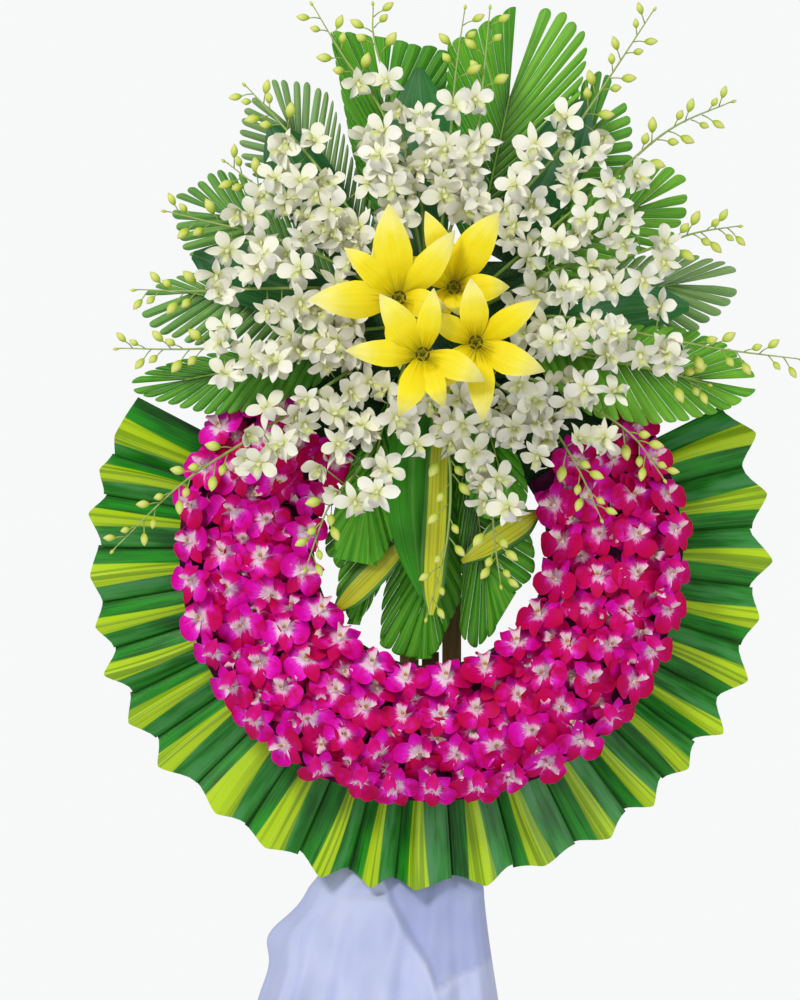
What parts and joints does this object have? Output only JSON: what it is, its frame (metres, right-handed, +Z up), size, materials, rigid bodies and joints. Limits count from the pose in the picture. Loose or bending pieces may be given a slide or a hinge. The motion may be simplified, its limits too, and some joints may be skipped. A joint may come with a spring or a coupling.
{
  "type": "standing funeral wreath",
  "caption": "Standing funeral wreath: magenta orchid ring with a pleated leaf collar, a top spray of white orchids, yellow lilies and palm fronds, and a draped wooden stand.",
  "frame": {"origin": "centre of the footprint on the floor, below the flower ring", "axes": "+Z up, the wreath's front faces -Y, +X to the right seen from the front"},
  "size_m": [0.8937, 0.552, 1.6138],
  "materials": {
    "broad_leaf_left_dark_leaf": "satin",
    "broad_leaf_right_dark_leaf": "satin",
    "broad_leaf_side_left_dark_leaf": "satin",
    "broad_leaf_side_right_dark_leaf": "satin",
    "broad_leaf_top_dark_leaf": "satin",
    "collar_1_collar_leaf": "satin",
    "collar_2_collar_leaf": "satin",
    "collar_3_collar_leaf": "satin",
    "collar_4_collar_leaf": "satin",
    "drape_cloth_cloth": "matte",
    "foam_block_foam": "matte",
    "foam_ring_foam": "matte",
    "frond_left_palm_leaf": "satin",
    "frond_left_bottom_palm_leaf": "satin",
    "frond_left_low_palm_leaf": "satin",
    "frond_right_palm_leaf": "satin",
    "frond_right_bottom_palm_leaf": "satin",
    "frond_right_top_palm_leaf": "satin",
    "frond_right_upper_palm_leaf": "satin",
    "frond_top_left_palm_leaf": "satin",
    "frond_top_right_palm_leaf": "satin",
    "frond_upper_left_palm_leaf": "satin",
    "hole_fan_left_palm_leaf": "satin",
    "hole_fan_middle_palm_leaf": "satin",
    "hole_fan_right_palm_leaf": "satin",
    "hole_leaf_green_palm_leaf": "satin",
    "hole_leaf_left_striped_leaf": "satin",
    "hole_leaf_right_striped_leaf": "satin",
    "hole_leaf_striped_striped_leaf": "satin",
    "hole_palm_left_palm_leaf": "satin",
    "hole_palm_right_palm_leaf": "satin",
    "hoop_inner_bamboo": "satin",
    "hoop_outer_bamboo": "satin",
    "lily_lower_left_lily_petal": "satin",
    "lily_lower_right_lily_petal": "satin",
    "lily_upper_left_lily_petal": "satin",
    "lily_upper_right_lily_petal": "satin",
    "orchid_bed_1_magenta_petal": "satin",
    "orchid_bed_2_magenta_petal": "satin",
    "orchid_bed_3_magenta_petal": "satin",
    "orchid_bed_4_magenta_petal": "satin",
    "orchid_bed_5_magenta_petal": "satin",
    "orchid_bed_6_magenta_petal": "satin",
    "spray_hole_centre_white_petal": "satin",
    "spray_hole_left_white_petal": "satin",
    "spray_hole_right_white_petal": "satin",
    "spray_left_white_petal": "satin",
    "spray_left_hanging_white_petal": "satin",
    "spray_left_low_white_petal": "satin",
    "spray_left_top_white_petal": "satin",
    "spray_right_white_petal": "satin",
    "spray_right_low_white_petal": "satin",
    "spray_right_upper_white_petal": "satin",
    "spray_ring_right_white_petal": "satin",
    "spray_top_white_petal": "satin",
    "spray_top_left_white_petal": "satin",
    "spray_top_right_white_petal": "satin",
    "stand_base_timber": "matte",
    "stand_strut_timber": "matte",
    "stand_uprights_timber": "matte"
  },
  "bodies": {
    "root": {"broad_leaf_left": "broad_leaf_left_dark_leaf", "broad_leaf_right": "broad_leaf_right_dark_leaf", "broad_leaf_side_left": "broad_leaf_side_left_dark_leaf", "broad_leaf_side_right": "broad_leaf_side_right_dark_leaf", "broad_leaf_top": "broad_leaf_top_dark_leaf", "collar_1": "collar_1_collar_leaf", "collar_2": "collar_2_collar_leaf", "collar_3": "collar_3_collar_leaf", "collar_4": "collar_4_collar_leaf", "drape_cloth": "drape_cloth_cloth", "foam_block": "foam_block_foam", "foam_ring": "foam_ring_foam", "frond_left": "frond_left_palm_leaf", "frond_left_bottom": "frond_left_bottom_palm_leaf", "frond_left_low": "frond_left_low_palm_leaf", "frond_right": "frond_right_palm_leaf", "frond_right_bottom": "frond_right_bottom_palm_leaf", "frond_right_top": "frond_right_top_palm_leaf", "frond_right_upper": "frond_right_upper_palm_leaf", "frond_top_left": "frond_top_left_palm_leaf", "frond_top_right": "frond_top_right_palm_leaf", "frond_upper_left": "frond_upper_left_palm_leaf", "hole_fan_left": "hole_fan_left_palm_leaf", "hole_fan_middle": "hole_fan_middle_palm_leaf", "hole_fan_right": "hole_fan_right_palm_leaf", "hole_leaf_green": "hole_leaf_green_palm_leaf", "hole_leaf_left": "hole_leaf_left_striped_leaf", "hole_leaf_right": "hole_leaf_right_striped_leaf", "hole_leaf_striped": "hole_leaf_striped_striped_leaf", "hole_palm_left": "hole_palm_left_palm_leaf", "hole_palm_right": "hole_palm_right_palm_leaf", "hoop_inner": "hoop_inner_bamboo", "hoop_outer": "hoop_outer_bamboo", "lily_lower_left": "lily_lower_left_lily_petal", "lily_lower_right": "lily_lower_right_lily_petal", "lily_upper_left": "lily_upper_left_lily_petal", "lily_upper_right": "lily_upper_right_lily_petal", "orchid_bed_1": "orchid_bed_1_magenta_petal", "orchid_bed_2": "orchid_bed_2_magenta_petal", "orchid_bed_3": "orchid_bed_3_magenta_petal", "orchid_bed_4": "orchid_bed_4_magenta_petal", "orchid_bed_5": "orchid_bed_5_magenta_petal", "orchid_bed_6": "orchid_bed_6_magenta_petal", "spray_hole_centre": "spray_hole_centre_white_petal", "spray_hole_left": "spray_hole_left_white_petal", "spray_hole_right": "spray_hole_right_white_petal", "spray_left": "spray_left_white_petal", "spray_left_hanging": "spray_left_hanging_white_petal", "spray_left_low": "spray_left_low_white_petal", "spray_left_top": "spray_left_top_white_petal", "spray_right": "spray_right_white_petal", "spray_right_low": "spray_right_low_white_petal", "spray_right_upper": "spray_right_upper_white_petal", "spray_ring_right": "spray_ring_right_white_petal", "spray_top": "spray_top_white_petal", "spray_top_left": "spray_top_left_white_petal", "spray_top_right": "spray_top_right_white_petal", "stand_base": "stand_base_timber", "stand_strut": "stand_strut_timber", "stand_uprights": "stand_uprights_timber"}
  },
  "joints": []
}
